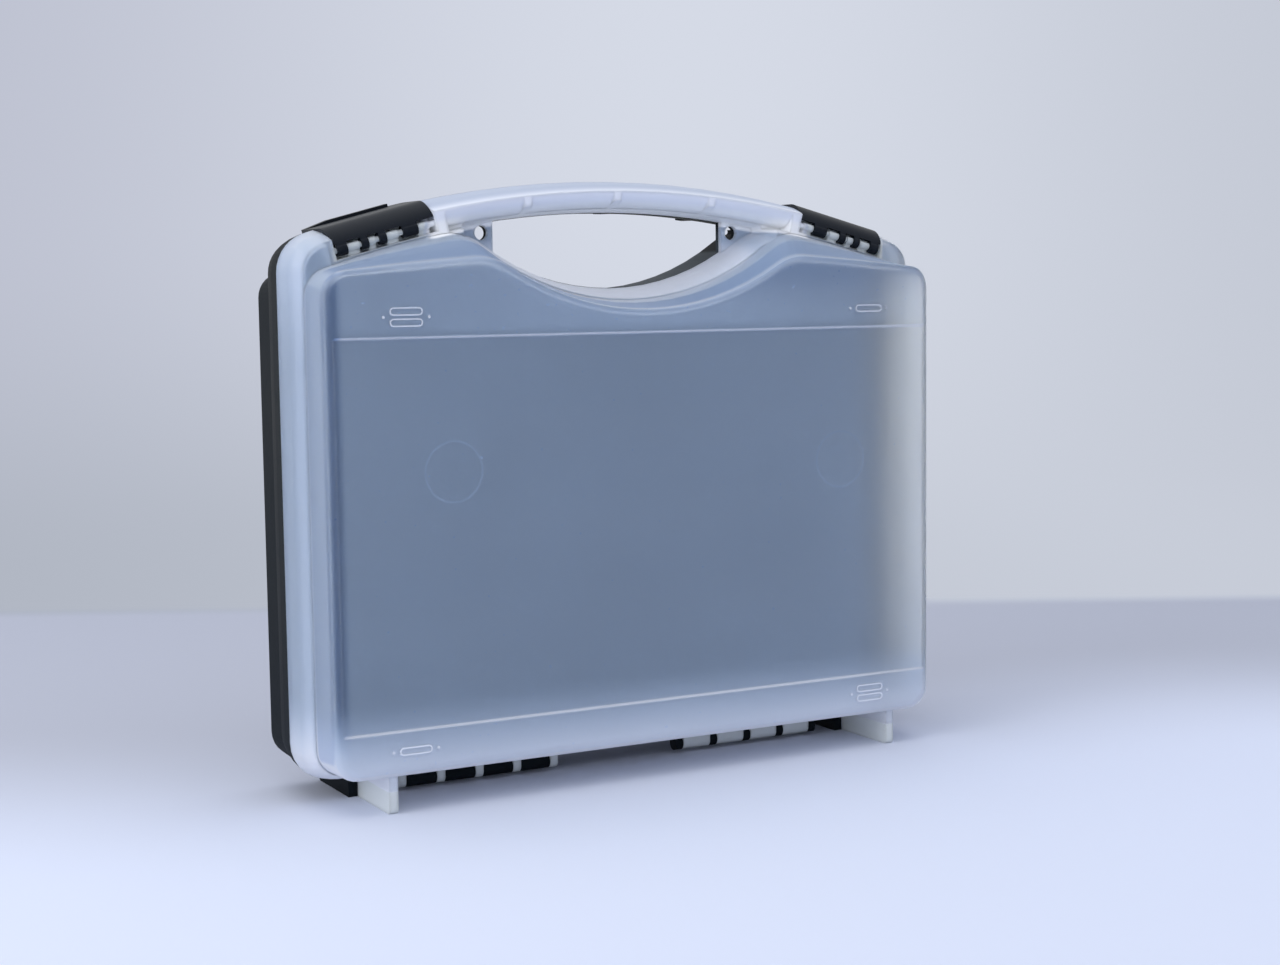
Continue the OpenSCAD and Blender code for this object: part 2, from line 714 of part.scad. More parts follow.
base_shell();
lid_shell();
left_latch();
right_latch();
foam_tray();
foam_backing();
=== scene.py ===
# %% [markdown]
# # A slim hard case for knives
# The case stands on its hinge edge. Its front half is a frosted lid, its back half a black base.
# Two snap latches reach over the top edge, and a bow grip with four finger scallops lies between
# them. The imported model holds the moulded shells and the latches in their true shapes. This file
# gives each of them its plastic, forms the foam inside, and sets the camera, table and light.

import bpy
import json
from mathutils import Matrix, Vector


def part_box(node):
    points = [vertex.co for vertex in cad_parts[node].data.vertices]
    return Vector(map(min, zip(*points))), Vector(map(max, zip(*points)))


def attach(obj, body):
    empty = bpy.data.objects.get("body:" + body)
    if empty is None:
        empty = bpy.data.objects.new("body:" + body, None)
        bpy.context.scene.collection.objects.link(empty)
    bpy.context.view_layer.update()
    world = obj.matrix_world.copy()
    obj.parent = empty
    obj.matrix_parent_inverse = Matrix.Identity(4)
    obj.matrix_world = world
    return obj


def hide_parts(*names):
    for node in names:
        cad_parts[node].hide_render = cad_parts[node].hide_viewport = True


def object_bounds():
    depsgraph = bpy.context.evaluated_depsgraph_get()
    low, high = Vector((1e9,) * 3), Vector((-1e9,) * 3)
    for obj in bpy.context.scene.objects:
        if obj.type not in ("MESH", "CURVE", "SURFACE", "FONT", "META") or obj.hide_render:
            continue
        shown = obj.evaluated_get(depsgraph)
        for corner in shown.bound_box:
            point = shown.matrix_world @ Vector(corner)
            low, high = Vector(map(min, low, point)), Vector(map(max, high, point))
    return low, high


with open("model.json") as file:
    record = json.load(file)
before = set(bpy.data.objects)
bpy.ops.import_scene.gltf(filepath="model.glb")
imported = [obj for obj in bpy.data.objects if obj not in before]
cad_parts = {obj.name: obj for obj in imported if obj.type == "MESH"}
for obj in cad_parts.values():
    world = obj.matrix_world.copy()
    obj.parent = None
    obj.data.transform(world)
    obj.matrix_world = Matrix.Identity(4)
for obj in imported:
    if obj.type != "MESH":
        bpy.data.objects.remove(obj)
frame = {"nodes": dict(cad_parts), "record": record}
cad_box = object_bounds()
nodes = frame["nodes"]
print("nodes:", sorted(nodes))

# %% What the rest of the file works with
import json
from math import cos, pi, radians, sin, sqrt

import bmesh
import bpy
import numpy as np
from mathutils import Matrix, Vector, noise

scene = bpy.context.scene
print("Blender", bpy.app.version_string)

# %% [markdown]
# ## Camera
# The outline of the case fixes where the camera stood: about one metre in front, as high as the
# finger gap, turned to the right and tipped down a little. Those could be Euler angles, but then
# their order matters and is easy to get wrong. Here the three turns build one matrix, step by
# step, so that each can be read and changed by itself.

# %% Camera
IMAGE_W = 1280
SENSOR_W = 36.0
FOCAL_PX = 2042
CAMERA_AT = Vector((-0.471, -0.895, 0.2372))
YAW, PITCH, ROLL = radians(28.57), radians(5.45), radians(0.74)
AWAY = Vector((sin(YAW), cos(YAW), 0))
RIGHT = Vector((cos(YAW), -sin(YAW), 0))
DOWN = Vector((0, 0, -1))


def camera_axes(pitch, roll):
    """Right, up and backward directions of a camera that looks along AWAY when both are 0."""
    tipped = AWAY * cos(pitch) + DOWN * sin(pitch)
    lowered = DOWN * cos(pitch) - AWAY * sin(pitch)
    turned = RIGHT * cos(roll) + lowered * sin(roll)
    under = lowered * cos(roll) - RIGHT * sin(roll)
    return turned, -under, -tipped


camera_data = bpy.data.cameras.new("camera")
camera_data.sensor_width = SENSOR_W
camera_data.lens = FOCAL_PX * SENSOR_W / IMAGE_W
camera = bpy.data.objects.new("camera", camera_data)
turned = Matrix(camera_axes(PITCH, ROLL)).transposed().to_4x4()
camera.matrix_world = Matrix.Translation(CAMERA_AT) @ turned
scene.collection.objects.link(camera)
scene.camera = camera
print("lens", round(camera_data.lens, 2), "mm")

# %% [markdown]
# ## Shader maths
# A plastic is never one flat colour: it is milkier where it is thick, and rougher in one place
# than in another. Such a rule is easiest to read as an expression, so `Value` wraps one socket and
# each operator on it adds its Math node. `Finish` holds one material, and its `node` makes every
# other node from a type, its settings and its inputs.

# %% One value in a shader
class Value:
    """One output socket that takes part in arithmetic."""

    def __init__(self, finish, socket):
        self.finish = finish
        self.socket = socket

    def maths(self, operation, a, b=0.0, clamp=False):
        inputs = {0: a, 1: b}
        return self.finish.node("ShaderNodeMath", inputs, operation=operation, use_clamp=clamp)

    def __add__(self, other):
        return self.maths("ADD", self, other)

    def __radd__(self, other):
        return self.maths("ADD", other, self)

    def __sub__(self, other):
        return self.maths("SUBTRACT", self, other)

    def __rsub__(self, other):
        return self.maths("SUBTRACT", other, self)

    def __mul__(self, other):
        return self.maths("MULTIPLY", self, other)

    def __rmul__(self, other):
        return self.maths("MULTIPLY", other, self)

    def __abs__(self):
        return self.maths("ABSOLUTE", self)

    def sqrt(self):
        return self.maths("SQRT", self)

    def clamped(self):
        return self.maths("ADD", self, 0.0, clamp=True)

    def part(self, name):
        return Value(self.finish, self.socket.node.outputs[name])


# %% One material
class Finish:
    """One material with a Principled shader, and the nodes that feed it."""

    def __init__(self, name):
        self.material = bpy.data.materials.new(name)
        self.material.use_nodes = True
        self.tree = self.material.node_tree
        self.shader = self.tree.nodes["Principled BSDF"]

    def node(self, kind, inputs=None, output=0, **settings):
        made = self.tree.nodes.new(kind)
        for name, value in settings.items():
            setattr(made, name, value)
        for name, value in (inputs or {}).items():
            self.put(made.inputs[name], value)
        return Value(self, made.outputs[output])

    def put(self, socket, value):
        if isinstance(value, Value):
            self.tree.links.new(value.socket, socket)
        else:
            socket.default_value = value

    def set(self, **values):
        for name, value in values.items():
            self.put(self.shader.inputs[name.replace("_", " ")], value)

    def place(self):
        return self.node("ShaderNodeTexCoord", output="Object")

    def axes(self):
        parts = self.node("ShaderNodeSeparateXYZ", {0: self.place()})
        return [parts.part(name) for name in "XYZ"]

    def step(self, value, low, high):
        """0 below low, 1 above high, a soft change between them."""
        inputs = {"Value": value, "From Min": low, "From Max": high}
        return self.node("ShaderNodeMapRange", inputs, interpolation_type="SMOOTHSTEP")

    def until(self, value, low, high):
        """1 below low, 0 above high, a soft change between them."""
        return 1 - self.step(value, low, high)

    def near(self, value, centre, width):
        """1 where value is at centre, 0 from a width away on either side."""
        return self.until(abs(value - centre), 0.0, width)

    def noise(self, scale, detail=2.0, roughness=0.5):
        inputs = {"Vector": self.place(), "Scale": scale, "Detail": detail, "Roughness": roughness}
        return self.node("ShaderNodeTexNoise", inputs, output="Fac")

    def mix(self, factor, a, b):
        return self.node("ShaderNodeMix", {0: factor, 6: a, 7: b}, output=2, data_type="RGBA")

    def bump(self, height, distance, normal=None):
        inputs = {"Height": height, "Distance": distance}
        if normal:
            inputs["Normal"] = normal
        return self.node("ShaderNodeBump", inputs)


# %% Colours as they look on screen
def linear(r, g, b):
    """A colour picked on screen, 0 to 255, as the linear values that nodes take."""
    def one(v):
        v = v / 255
        return v / 12.92 if v <= 0.04045 else ((v + 0.055) / 1.055) ** 2.4
    return one(r), one(g), one(b), 1.0


print("mid grey on screen is", round(linear(128, 128, 128)[0], 3), "in a node")

# %% [markdown]
# ## Places on the lid
# The lid isn't equally milky all over: its grip is a narrow channel with thicker walls, its feet
# are solid plates, and its face is thin. An image painted for it would need an unwrapped mesh.
# Masks that are worked out from a point's own x, y and z need none. Each mask is 1 in its place
# and 0 outside it. Some places hold painted light and shade rather than a thickness. The pairs of
# numbers say where a mask begins and where it ends to change, in metres: x to the right, y
# backwards, z up.

# %% The curved top edge
CROWN_R, CROWN_TOP = 0.5, 0.289


def below_crown(x, z):
    """How far a place lies under the curved top edge."""
    return (CROWN_R ** 2 - x * x).sqrt() + (CROWN_TOP - CROWN_R) - z


crown_drop = CROWN_R - sqrt(CROWN_R ** 2 - cad_box[1][0] ** 2)
print("the top edge drops", round(1000 * crown_drop, 1), "mm from the middle to the sides")

# %% The grip with painted shade on its top and painted light underneath, and the lugs that carry the latches
GRIP_DEEP, GRIP_HALF = (0.0168, 0.0184), (0.100, 0.106)
GRIP_TOP_DEEP, GRIP_LOW_DEEP = (0.0025, 0.0060), (0.0085, 0.0125)
LUG_MIDDLE, LUG_HALF, LUG_DEEP = 0.1275, (0.0215, 0.0235), (0.0150, 0.0165)


def grip_places(f, out, below):
    grip = f.until(below, *GRIP_DEEP) * f.until(out, *GRIP_HALF)
    return {
        "grip": grip,
        # Painted shade: the top of the grip is made darker.
        "grip_top_shade": grip * f.until(below, *GRIP_TOP_DEEP),
        # Painted light: the underside of the grip is made paler.
        "grip_underside_light": grip * f.step(below, *GRIP_LOW_DEEP),
        "lugs": f.until(below, *LUG_DEEP) * f.until(abs(out - LUG_MIDDLE), *LUG_HALF),
    }


# %% Above the label field: the slopes up to the grip, the wall of the finger gap, and painted shade and a painted highlight on the shoulder and the top of the face
FIELD_LOW, FIELD_TOP = 0.0384, 0.2162
ABOVE_FIELD, ABOVE_ENDS = (FIELD_TOP - 0.003, FIELD_TOP + 0.006), (0.02, 0.14)
SLOPE_LOW, SLOPE_HALF = (0.215, 0.222), (0.155, 0.160)
VALLEY_FRONT, VALLEY_BACK = (-0.0405, -0.0370), (-0.0290, -0.0262)
RIDGE_Y, RIDGE_W = -0.0425, 0.0018
GAP_FRONT, GAP_HALF = (-0.0225, -0.0205), (0.066, 0.078)
GAP_LOW, GAP_HIGH = (0.224, 0.230), (0.256, 0.262)
BROW_LOW, BROW_RIGHT, BROW_AT_LEFT = (0.222, 0.246), (-0.05, 0.08), 0.3


def shoulder_places(f, x, y, z, out, face):
    slope = f.step(z, *SLOPE_LOW) * f.until(out, *SLOPE_HALF)
    above = f.step(z, *ABOVE_FIELD)
    gap_height = f.step(z, *GAP_LOW) * f.until(z, *GAP_HIGH)
    towards_right = BROW_AT_LEFT + (1 - BROW_AT_LEFT) * f.step(x, *BROW_RIGHT)
    return {
        "above_field": above,
        "above_ends": above * f.step(out, *ABOVE_ENDS),
        # Painted shade: a darker band in the valley of the shoulder slope.
        "valley_shade": f.step(y, *VALLEY_FRONT) * f.until(y, *VALLEY_BACK) * slope,
        # Painted highlight along the crease where the slope meets the face.
        "ridge": f.near(y, RIDGE_Y, RIDGE_W) * slope,
        "gap_wall": f.step(y, *GAP_FRONT) * gap_height * f.until(out, *GAP_HALF),
        # Painted shade: the top of the face is made darker, most at the right.
        "brow_shade": face * f.step(z, *BROW_LOW) * towards_right,
    }


# %% Rims, walls and feet: the left ones stand before dark foam and carry painted shade and a painted highlight, the right ones before the room
BAND_FRONT, BAND_HIGH = (-0.0212, -0.0200), (0.20, 0.27)
LIP_Y, LIP_W, LIP_LEFT = -0.0168, 0.0075, (-0.1640, -0.1620)
EDGE_X, EDGE_W, EDGE_BACK, EDGE_LOW = -0.1603, 0.0062, (-0.0400, -0.0375), (0.026, 0.060)
WALL_SIDE, WALL_BACK = (-0.1634, -0.1626), (-0.0225, -0.0215)
ZONE_LEFT, ZONE_RIGHT, ZONE_FADE = (0.112, 0.138), (0.142, 0.156), 0.6
RIGHT_SIDE = (0.158, 0.162)
FEET_HIGH, GLOW_HIGH = (0.0098, 0.0108), (0.012, 0.054)


def edge_places(f, x, y, z):
    band = f.step(y, *BAND_FRONT)
    left_edge_shade = f.near(x, EDGE_X, EDGE_W) * f.until(y, *EDGE_BACK)
    return {
        "band": band,
        "high_band": band * f.step(z, *BAND_HIGH),
        # Painted highlight on the rim band at the left end.
        "lip": f.near(y, LIP_Y, LIP_W) * f.until(x, *LIP_LEFT),
        # Painted shade along the left edge of the face.
        "left_edge_shade": left_edge_shade * f.step(z, *EDGE_LOW),
        # Painted shade on the left side wall.
        "left_wall_shade": f.until(x, *WALL_SIDE) * f.until(y, *WALL_BACK),
        "pale_zone": f.step(x, *ZONE_LEFT) * (1 - ZONE_FADE * f.step(x, *ZONE_RIGHT)),
        "right_wall": f.step(x, *RIGHT_SIDE),
        "feet": f.until(z, *FEET_HIGH),
        # Painted light: more milk, so paler, towards the bottom edge.
        "low_glow": f.until(z, *GLOW_HIGH),
    }


# %% The fine things on the face: painted highlights on the field lines, relief marks, pin rings and specks
FACE_BACK, MARK_BACK = (-0.0425, -0.0418), (-0.04376, -0.04368)
LINE_W, LINE_HALF = 0.0010, (0.1585, 0.1600)
RINGS = [(0.108, 0.150), (-0.103, 0.155)]
RING_R, RING_W = 0.014, 0.0009
SPECKS_PER_METRE, SPECK_FROM = 420, (0.80, 0.84)


def ring(f, x, z, at_x, at_z):
    """The faint round mark that a moulding pin leaves."""
    away = ((x - at_x) * (x - at_x) + (z - at_z) * (z - at_z)).sqrt()
    return f.near(away, RING_R, RING_W)


def drawn_places(f, x, y, z, out, face):
    # Painted highlights along the top and bottom edges of the label field.
    line_highlights = f.near(z, FIELD_TOP, LINE_W) + f.near(z, FIELD_LOW, LINE_W)
    return {
        "line": line_highlights * face * f.until(out, *LINE_HALF),
        "mark": f.until(y, *MARK_BACK),
        "rings": sum(ring(f, x, z, *at) for at in RINGS) * face,
        "specks": f.step(f.noise(SPECKS_PER_METRE, 0), *SPECK_FROM) * face,
    }


# %% All places together
def lid_places(f):
    x, y, z = f.axes()
    out = abs(x)
    face = f.until(y, *FACE_BACK)
    places = grip_places(f, out, below_crown(x, z))
    places.update(shoulder_places(f, x, y, z, out, face))
    places.update(edge_places(f, x, y, z))
    places.update(drawn_places(f, x, y, z, out, face))
    print(len(places), "places on the lid:", ", ".join(places))
    return places


# %% [markdown]
# ## Frosted plastic
# The lid is natural polypropylene, textured so that it blurs what is behind it. Light does two
# things in it: some of it scatters back, which is the bluish milk over the dark foam, and some
# goes through, which is the pale zone at the right, where only the thin side wall stands before
# the bright room. A Principled shader's Transmission Weight could divide the two, but both would
# share one colour and one roughness. So a milky shader is mixed with rough glass, and the mix is
# the share of milk. Thick places and grazing views have more of it, thin walls less. Some shares
# paint light and shade: painted highlights on the crease ridge, the left lip and the field lines,
# painted light near the bottom edge, and painted shade in the shoulder valley, at the top right of
# the face and along the left edge and wall. Its colour goes from blue where it is thin to nearly
# white where it is thick. The lugs with the feet have a natural shade of their own, the shoulder
# valley, the top right of the face, the left edge and the grip's top carry painted shade, and the
# grip's underside carries painted light. All shares and shades were picked by comparing renders
# with a photograph.

# %% How milky the lid is
MILK = 0.22
GLANCING_MILK = 0.22
# Besides thickness, these shares paint light: painted highlights on the ridge and left lip,
# painted light near the bottom, and painted shade in the valley and at the top right of the face.
THICK_AND_PAINTED_LIGHT = {"grip": 0.80, "lugs": 0.50, "feet": 0.60, "band": 0.02, "high_band": 0.16, "lip": 0.14,
         "low_glow": 0.48, "gap_wall": 0.28, "ridge": 0.10, "valley_shade": 0.25, "brow_shade": 0.12}
# Less milk on the left edge and the left wall paints shade there.
THIN_AND_PAINTED_SHADE = {"left_edge_shade": 0.07, "left_wall_shade": 0.05, "pale_zone": 0.08, "right_wall": 0.10,
        "above_ends": 0.06}
DRAWN = {"line": 0.50, "mark": 0.50, "rings": 0.09, "specks": 0.20, "above_field": 0.07}
CLOUDS_PER_METRE = 14
CLOUDY = 0.05


def weighed(shares, places):
    """The sum of the named places, each times its share."""
    return sum(share * places[name] for name, share in shares.items())


print("most milk is added at the", max(THICK_AND_PAINTED_LIGHT, key=THICK_AND_PAINTED_LIGHT.get))

# %% The colours of the milk
THIN_MILK = (0.56, 0.74, 1.0, 1.0)
THICK_MILK = (0.86, 0.89, 0.97, 1.0)
NATURAL = (0.72, 0.76, 0.76, 1.0)
# Painted shade for the shoulder valley and the top right of the face.
SHOULDER_SHADE = (0.18, 0.30, 0.52, 1.0)
# Painted shade for the left edge and the left wall.
EDGE_SHADE = (0.17, 0.33, 0.66, 1.0)
# Painted shade for the top of the grip.
GRIP_TOP_SHADE = (0.46, 0.52, 0.65, 1.0)
# Painted light for the underside of the grip.
GRIP_UNDERSIDE_LIGHT = (0.98, 0.99, 1.0, 1.0)
WHITENS = 1.6


def milk_colour(f, places, thick_and_painted, glancing):
    # The painted highlight of the field lines whitens the milk too.
    white = thick_and_painted * WHITENS + glancing + places["line"] + places["mark"]
    colour = f.mix(white.clamped(), THIN_MILK, THICK_MILK)
    coats = [
        (places["lugs"] + places["feet"], NATURAL),
        # Painted shade in the shoulder valley and at the top right of the face.
        (0.85 * places["valley_shade"] + 0.75 * places["brow_shade"], SHOULDER_SHADE),
        # Painted shade along the left edge and the left wall.
        (places["left_edge_shade"] + 0.5 * places["left_wall_shade"], EDGE_SHADE),
        # Painted shade on the grip's top.
        (places["grip_top_shade"], GRIP_TOP_SHADE),
        # Painted light on the grip's underside.
        (places["grip_underside_light"], GRIP_UNDERSIDE_LIGHT),
    ]
    for share, shade in coats:
        colour = f.mix(share.clamped(), colour, shade)
    return colour


# %% Put the plastic together
CLEAR_TINT, CLEAR_ROUGH, CLEAR_IOR = (1.0, 0.980, 0.925, 1.0), 0.5, 1.3
MILKY_ROUGH, MILKY_UNEVEN, PLASTIC_IOR = 0.42, 0.06, 1.49
LET_THROUGH = 0.6
LID_ROUND, ROUND_SAMPLES = 0.0026, 4
TEXTURE_PER_METRE, TEXTURE_DEPTH = 2600, 0.00004


def frosted_plastic():
    f = Finish("frosted_plastic")
    places = lid_places(f)
    cloud = f.noise(CLOUDS_PER_METRE, 3)
    facing = f.node("ShaderNodeLayerWeight", {"Blend": 0.5}, output="Facing")
    glancing = facing * facing
    thick_and_painted = weighed(THICK_AND_PAINTED_LIGHT, places).clamped()
    milk = MILK + GLANCING_MILK * glancing + thick_and_painted - weighed(THIN_AND_PAINTED_SHADE, places)
    milk = (milk + weighed(DRAWN, places) + CLOUDY * (cloud - 0.5)).clamped()
    colour = milk_colour(f, places, thick_and_painted, glancing)

    rounded = f.node("ShaderNodeBevel", {"Radius": LID_ROUND}, samples=ROUND_SAMPLES)
    fine = f.bump(f.noise(TEXTURE_PER_METRE), TEXTURE_DEPTH, rounded)
    f.set(Base_Color=CLEAR_TINT, Roughness=CLEAR_ROUGH, IOR=CLEAR_IOR, Transmission_Weight=1.0,
          Normal=fine)
    rough = MILKY_ROUGH + MILKY_UNEVEN * cloud
    inputs = {"Base Color": colour, "Roughness": rough, "IOR": PLASTIC_IOR, "Normal": fine}
    milky = f.node("ShaderNodeBsdfPrincipled", inputs)
    clear = Value(f, f.shader.outputs["BSDF"])
    both = f.node("ShaderNodeMixShader", {0: milk, 1: clear, 2: milky})

    lamp_ray = f.node("ShaderNodeLightPath", output="Is Shadow Ray")
    gap = f.node("ShaderNodeBsdfTransparent")
    seen = f.node("ShaderNodeMixShader", {0: LET_THROUGH * lamp_ray, 1: both, 2: gap})
    f.put(f.tree.nodes["Material Output"].inputs["Surface"], seen)
    return f.material


# %% [markdown]
# ## Black plastics
# The base is the same polypropylene with black pigment. Its mould was etched, so it has a fine
# grain and a satin shine that varies a little where hands and shelves have rubbed it. The latches
# come from a smoother mould and shine more. A noise of about half a millimetre gives the grain,
# and a slow noise varies colour and shine. The base's wall below the finger gap is paler, so a
# mask from places brings in a paler grey there.

# %% Black plastics
BLACK_DARK, BLACK_LIGHT = linear(20, 25, 29), linear(28, 33, 38)
LATCH_DARK, LATCH_LIGHT = linear(15, 21, 29), linear(21, 27, 36)
# A paler grey for the base's wall below the finger gap.
PALE_UNDER_GAP = linear(80, 87, 91)
UNDER_GAP_LOW, UNDER_GAP_HIGH = (0.226, 0.232), (0.262, 0.268)
UNDER_GAP_HALF, UNDER_GAP_BACK = (0.062, 0.066), (0.020, 0.034)
BLACK_CLOUDS_PER_METRE = 22
RUBS_PER_METRE, RUBBED_FROM = 90, (0.52, 0.75)


def under_fingers(f):
    """1 on the base's wall below the finger gap."""
    x, y, z = f.axes()
    height = f.step(z, *UNDER_GAP_LOW) * f.until(z, *UNDER_GAP_HIGH)
    return height * f.until(abs(x), *UNDER_GAP_HALF) * f.until(y, *UNDER_GAP_BACK)


def black_finish(name, dark, light, shine, mirror, grain_per_metre, grain_depth, paler_under_gap=False):
    f = Finish(name)
    cloud = f.noise(BLACK_CLOUDS_PER_METRE, 3)
    rubbed = f.step(f.noise(RUBS_PER_METRE, 4, 0.65), *RUBBED_FROM)
    grain = f.noise(grain_per_metre, 3, 0.6)
    colour = f.mix((0.7 * cloud + 0.3 * rubbed).clamped(), dark, light)
    if paler_under_gap:
        colour = f.mix(under_fingers(f), colour, PALE_UNDER_GAP)
    f.set(Base_Color=colour, Roughness=shine + 0.08 * cloud + 0.05 * rubbed, IOR=PLASTIC_IOR,
          Specular_IOR_Level=mirror, Normal=f.bump(grain, grain_depth))
    return f.material


# %% [markdown]
# ## Foam finish
# Closed-cell foam shows tiny round cells where it was cut. A Voronoi pattern has such cells: its
# distance to the nearest centre, used as height, gives each one a dimple.

# %% Foam finish
FOAM_DARK, FOAM_LIGHT = linear(28, 29, 32), linear(36, 37, 41)
CELLS_PER_METRE, CELL_DEPTH = 900.0, 0.0004
FOAM_CLOUDS_PER_METRE = 60


def foam_finish():
    f = Finish("foam")
    inputs = {"Vector": f.place(), "Scale": CELLS_PER_METRE}
    cells = f.node("ShaderNodeTexVoronoi", inputs, output="Distance")
    cloud = f.noise(FOAM_CLOUDS_PER_METRE, 3)
    f.set(Base_Color=f.mix(cloud, FOAM_DARK, FOAM_LIGHT), Roughness=0.95, IOR=1.4,
          Normal=f.bump(cells, CELL_DEPTH))
    return f.material


# %% Make each finish once
finishes = {
    "frosted_plastic": frosted_plastic(),
    "black_plastic": black_finish(
        "black_plastic", BLACK_DARK, BLACK_LIGHT, shine=0.54, mirror=0.05,
        grain_per_metre=1900, grain_depth=0.00005, paler_under_gap=True),
    "latch_plastic": black_finish(
        "latch_plastic", LATCH_DARK, LATCH_LIGHT, shine=0.40, mirror=0.17,
        grain_per_metre=2400, grain_depth=0.00003),
    "foam": foam_finish(),
}
print("finishes:", {name: len(m.node_tree.nodes) for name, m in finishes.items()})

# %% [markdown]
# ## Dress the moulded parts
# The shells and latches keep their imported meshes, which have the true shapes. Only the materials
# in their slots change, and the record says which finish each part takes.

# %% Dress the moulded parts
for subpart in frame["record"]["subparts"]:
    mesh = nodes[subpart["node"]].data
    finish = finishes[subpart["material_slot"]]
    for i in range(len(mesh.materials)):
        mesh.materials[i] = finish
    if not mesh.materials:
        mesh.materials.append(finish)
    print(subpart["node"], "takes", finish.name)

# %% [markdown]
# ## Foam sheets
# A thick sheet with a cut-out for each knife lies on a plain backing sheet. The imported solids
# have knife-sharp edges, which foam never keeps: its arrises give and its faces wander a little.
# Bevels would follow only the edges. A voxel remesh rebuilds the whole skin from small even
# faces, a few rounds of smoothing soften every edge alike, and a slow noise makes the faces
# uneven. Then the skin moves inwards a hair, so that the two sheets and the shell don't touch.

# %% Foam sheets
VOXEL = 0.002
SOFT_ROUNDS = 4
UNEVEN = 0.0003
UNEVEN_PER_METRE = 45
DRAWN_IN = 0.0004


def foam_sheet(node):
    piece = bpy.data.objects.new(node + "_formed", nodes[node].data.copy())
    scene.collection.objects.link(piece)
    remesh = piece.modifiers.new("even_skin", "REMESH")
    remesh.mode = "VOXEL"
    remesh.voxel_size = VOXEL
    soften = piece.modifiers.new("soft_edges", "SMOOTH")
    soften.iterations = SOFT_ROUNDS
    depsgraph = bpy.context.evaluated_depsgraph_get()
    mesh = bpy.data.meshes.new_from_object(piece.evaluated_get(depsgraph))
    piece.modifiers.clear()
    piece.data = mesh
    normals = [v.normal.copy() for v in mesh.vertices]
    for v, normal in zip(mesh.vertices, normals):
        v.co += normal * (UNEVEN * noise.noise(v.co * UNEVEN_PER_METRE) - DRAWN_IN)
    mesh.polygons.foreach_set("use_smooth", [True] * len(mesh.polygons))
    mesh.materials.clear()
    mesh.materials.append(finishes["foam"])
    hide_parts(node)
    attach(piece, "base")
    print(piece.name, "has", len(mesh.polygons), "faces")


for node in ("foam_tray", "foam_backing"):
    foam_sheet(node)

# %% [markdown]
# ## Table and wall
# The case stands on a white cloth before a pale wall. Both are one sheet of mesh: flat, then a
# bend, then upright, far enough away that a camera can walk round behind the case. The cloth is a
# real surface, so it keeps the shadow of the case. Beyond its far edge the sheet only has to look
# right, so rays from the camera, mirrors and glass see plain colours there, whatever the lamps do.
# Mirrors and glass see one tone, a little paler, which brightens the lid's pale end.

# %% The sheet of table and wall
TABLE_FRONT = -3.0
BEND_AT = 1.5
BEND_R = 0.3
BEND_STEPS = 13
WALL_TOP = 2.5
HALF_SPAN = 9.0


def sweep_mesh():
    bend = [(BEND_AT + BEND_R * sin(a), BEND_R * (1 - cos(a)))
            for a in np.linspace(0, pi / 2, BEND_STEPS)]
    profile = [(TABLE_FRONT, 0), *bend, (BEND_AT + BEND_R, WALL_TOP)]
    bm = bmesh.new()
    rows = []
    for depth, height in profile:
        line = AWAY * depth + Vector((0, 0, height))
        rows.append([bm.verts.new(line + RIGHT * side) for side in (-HALF_SPAN, HALF_SPAN)])
    for a, b in zip(rows, rows[1:]):
        bm.faces.new((a[0], a[1], b[1], b[0])).smooth = True
    mesh = bpy.data.meshes.new("table_and_wall")
    bm.to_mesh(mesh)
    bm.free()
    return mesh


# %% The colours of table and wall
CLOTH_NEAR, CLOTH_FAR = linear(230, 236, 252), linear(195, 198, 209)
CLOTH_FADE, FADE_LATER, LATER_AT_RIGHT = (-0.22, 0.10), 0.22, (-0.15, 0.35)
# The wall's colours paint a pool of light in its middle and shade low down at its left.
WALL_LEFT, WALL_MIDDLE = linear(190, 194, 209), linear(213, 218, 230)
WALL_RIGHT, WALL_LOW = linear(197, 202, 214), linear(174, 180, 192)
LEFT_TO_MIDDLE, MIDDLE_TO_RIGHT = (-1.0, 0.1), (0.1, 1.0)
LOW_HEIGHT, LOW_SIDE, FOOT_RISE = (-0.30, 0.35), (-0.9, 1.2), 0.2
TABLE_END, TABLE_FADE = 0.48, 0.05
BEHIND_GLASS = linear(243, 245, 248)
UNLIT = (0, 0, 0, 1)


def cloth_colour(f, side, depth):
    """Painted light and shade: paler in front, and for longer so at the right."""
    far = f.step(depth - FADE_LATER * f.step(side, *LATER_AT_RIGHT), *CLOTH_FADE)
    return f.mix(far, CLOTH_NEAR, CLOTH_FAR)


def wall_colour(f, side, depth, z):
    """Painted light and shade: palest in the middle, and darker low down towards the left."""
    height = z + FOOT_RISE * (depth - BEND_AT - BEND_R)
    colour = f.mix(f.step(side, *LEFT_TO_MIDDLE), WALL_LEFT, WALL_MIDDLE)
    colour = f.mix(f.step(side, *MIDDLE_TO_RIGHT), colour, WALL_RIGHT)
    return f.mix(f.until(height, *LOW_HEIGHT) * f.until(side, *LOW_SIDE), colour, WALL_LOW)


def sweep_finish():
    f = Finish("table_and_wall")
    x, y, z = f.axes()
    side = x * RIGHT.x + y * RIGHT.y
    depth = x * AWAY.x + y * AWAY.y
    beyond = f.step(depth, TABLE_END, TABLE_END + TABLE_FADE)
    cloth = cloth_colour(f, side, depth)
    wall = wall_colour(f, side, depth, z)

    path = f.node("ShaderNodeLightPath")
    rays = [path.part(f"Is {kind} Ray") for kind in ("Camera", "Glossy", "Transmission")]
    seen = sum(rays).clamped() * beyond
    shown = f.mix(rays[0], BEHIND_GLASS, wall)
    f.set(Base_Color=f.mix(seen, f.mix(beyond, cloth, wall), UNLIT), Roughness=0.9,
          Emission_Color=f.mix(seen, UNLIT, shown), Emission_Strength=1.0,
          Specular_IOR_Level=0.0)
    return f.material


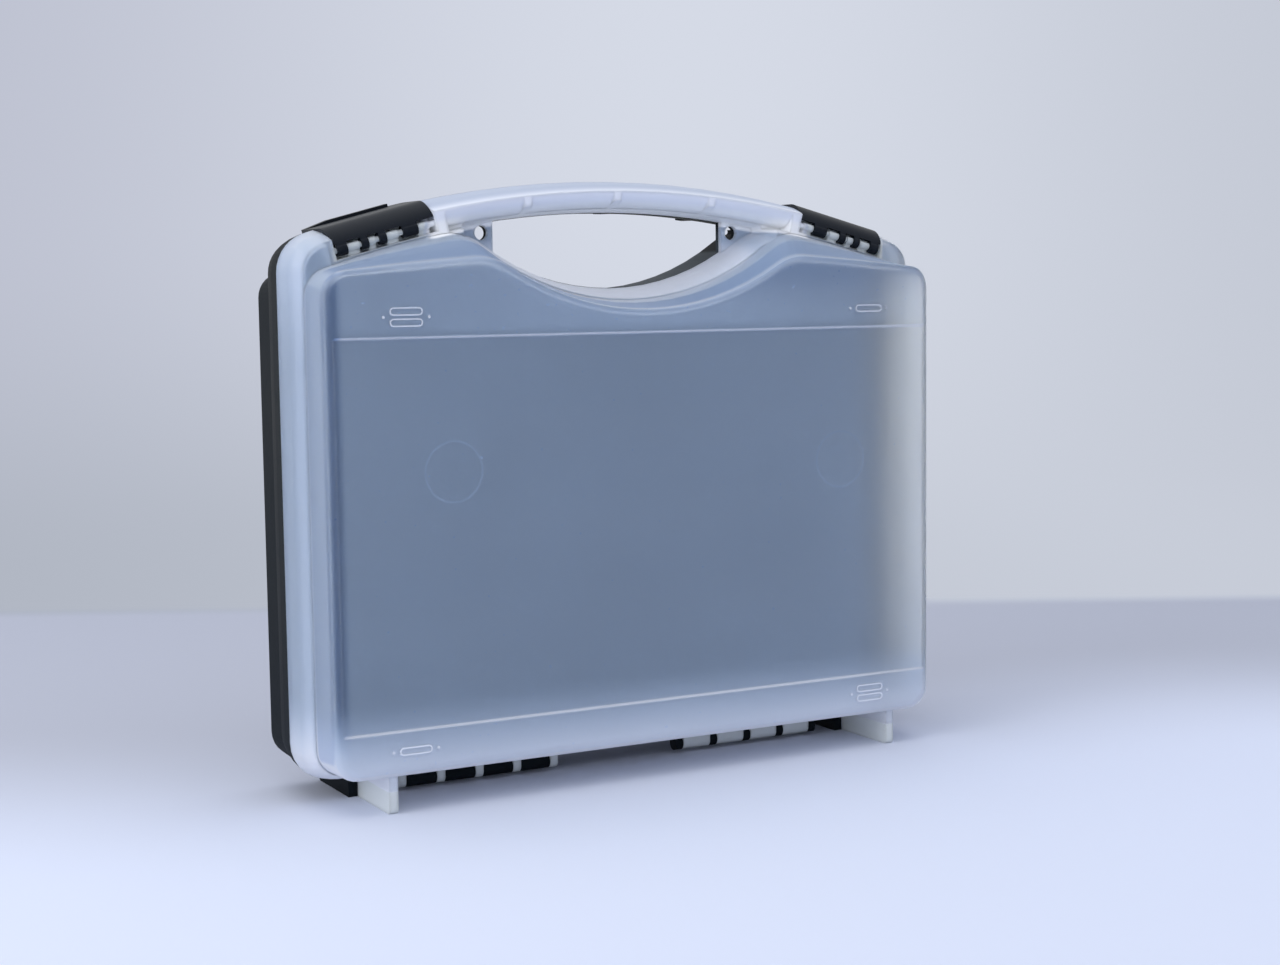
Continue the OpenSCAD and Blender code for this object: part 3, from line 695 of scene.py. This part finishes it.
# %% Lay the sheet
stage_mesh = sweep_mesh()
stage_mesh.materials.append(sweep_finish())
floor = bpy.data.objects.new("floor", stage_mesh)
scene.collection.objects.link(floor)
print("the wall stands", round(BEND_AT + BEND_R - CAMERA_AT.dot(AWAY), 2), "m from the camera")

# %% [markdown]
# ## Keep the sheet under the lid
# The lid opens by half a turn about the bottom edge, which brings it below that edge. In use the
# case lies on its back then. Here it stays upright, so the sheet must give way. A driver could
# lower it, but a Floor constraint says it more simply: for each corner of the lid, the sheet may
# not be above it. At rest the lowest corner is level with the sheet, which stays where it is.

# %% Keep the sheet under the lid
lid_low, lid_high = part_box("lid_shell")
front, bottom, top = lid_low[1], lid_low[2], lid_high[2]
PANEL_TOP = 0.25
LID_CORNERS = [(0, front, bottom), (0, front, PANEL_TOP), (0, front / 2, top), (0, 0, top)]

for at in LID_CORNERS:
    corner = bpy.data.objects.new("lid_corner", None)
    scene.collection.objects.link(corner)
    corner.location = at
    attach(corner, "lid")
    under = floor.constraints.new("FLOOR")
    under.target = corner
    under.floor_location = "FLOOR_NEGATIVE_Z"
print(len(LID_CORNERS), "corners hold the sheet down")

# %% [markdown]
# ## Light
# The room gives even light from all sides, a wide ceiling light makes the top edges pale and the
# latches shine, and a smaller one at the left shows the rim. Together they light a white face to
# about white, so each finish looks about the way its colours are written.

# %% Light
ROOM_COLOUR = linear(228, 233, 245)
ROOM_STRENGTH = 0.76
CASE_MIDDLE = Vector((0, 0, 0.14))
LIGHTS = {
    "ceiling_light": ((-0.3, 0.1, 2.3), 2.4, 17),
    "window_light": ((-2.0, -0.4, 1.0), 1.4, 15),
}

world = bpy.data.worlds.new("world")
world.use_nodes = True
room = world.node_tree.nodes["Background"]
room.inputs["Color"].default_value = ROOM_COLOUR
room.inputs["Strength"].default_value = ROOM_STRENGTH
scene.world = world

for name, (at, size, watts) in LIGHTS.items():
    data = bpy.data.lights.new(name, "AREA")
    data.shape = "SQUARE"
    data.size = size
    data.energy = watts
    lamp = bpy.data.objects.new(name, data)
    lamp.location = at
    lamp.rotation_euler = (CASE_MIDDLE - Vector(at)).to_track_quat("-Z", "Y").to_euler()
    scene.collection.objects.link(lamp)
    print(name, watts, "W,", size, "m wide")

scene.view_settings.view_transform = "Standard"
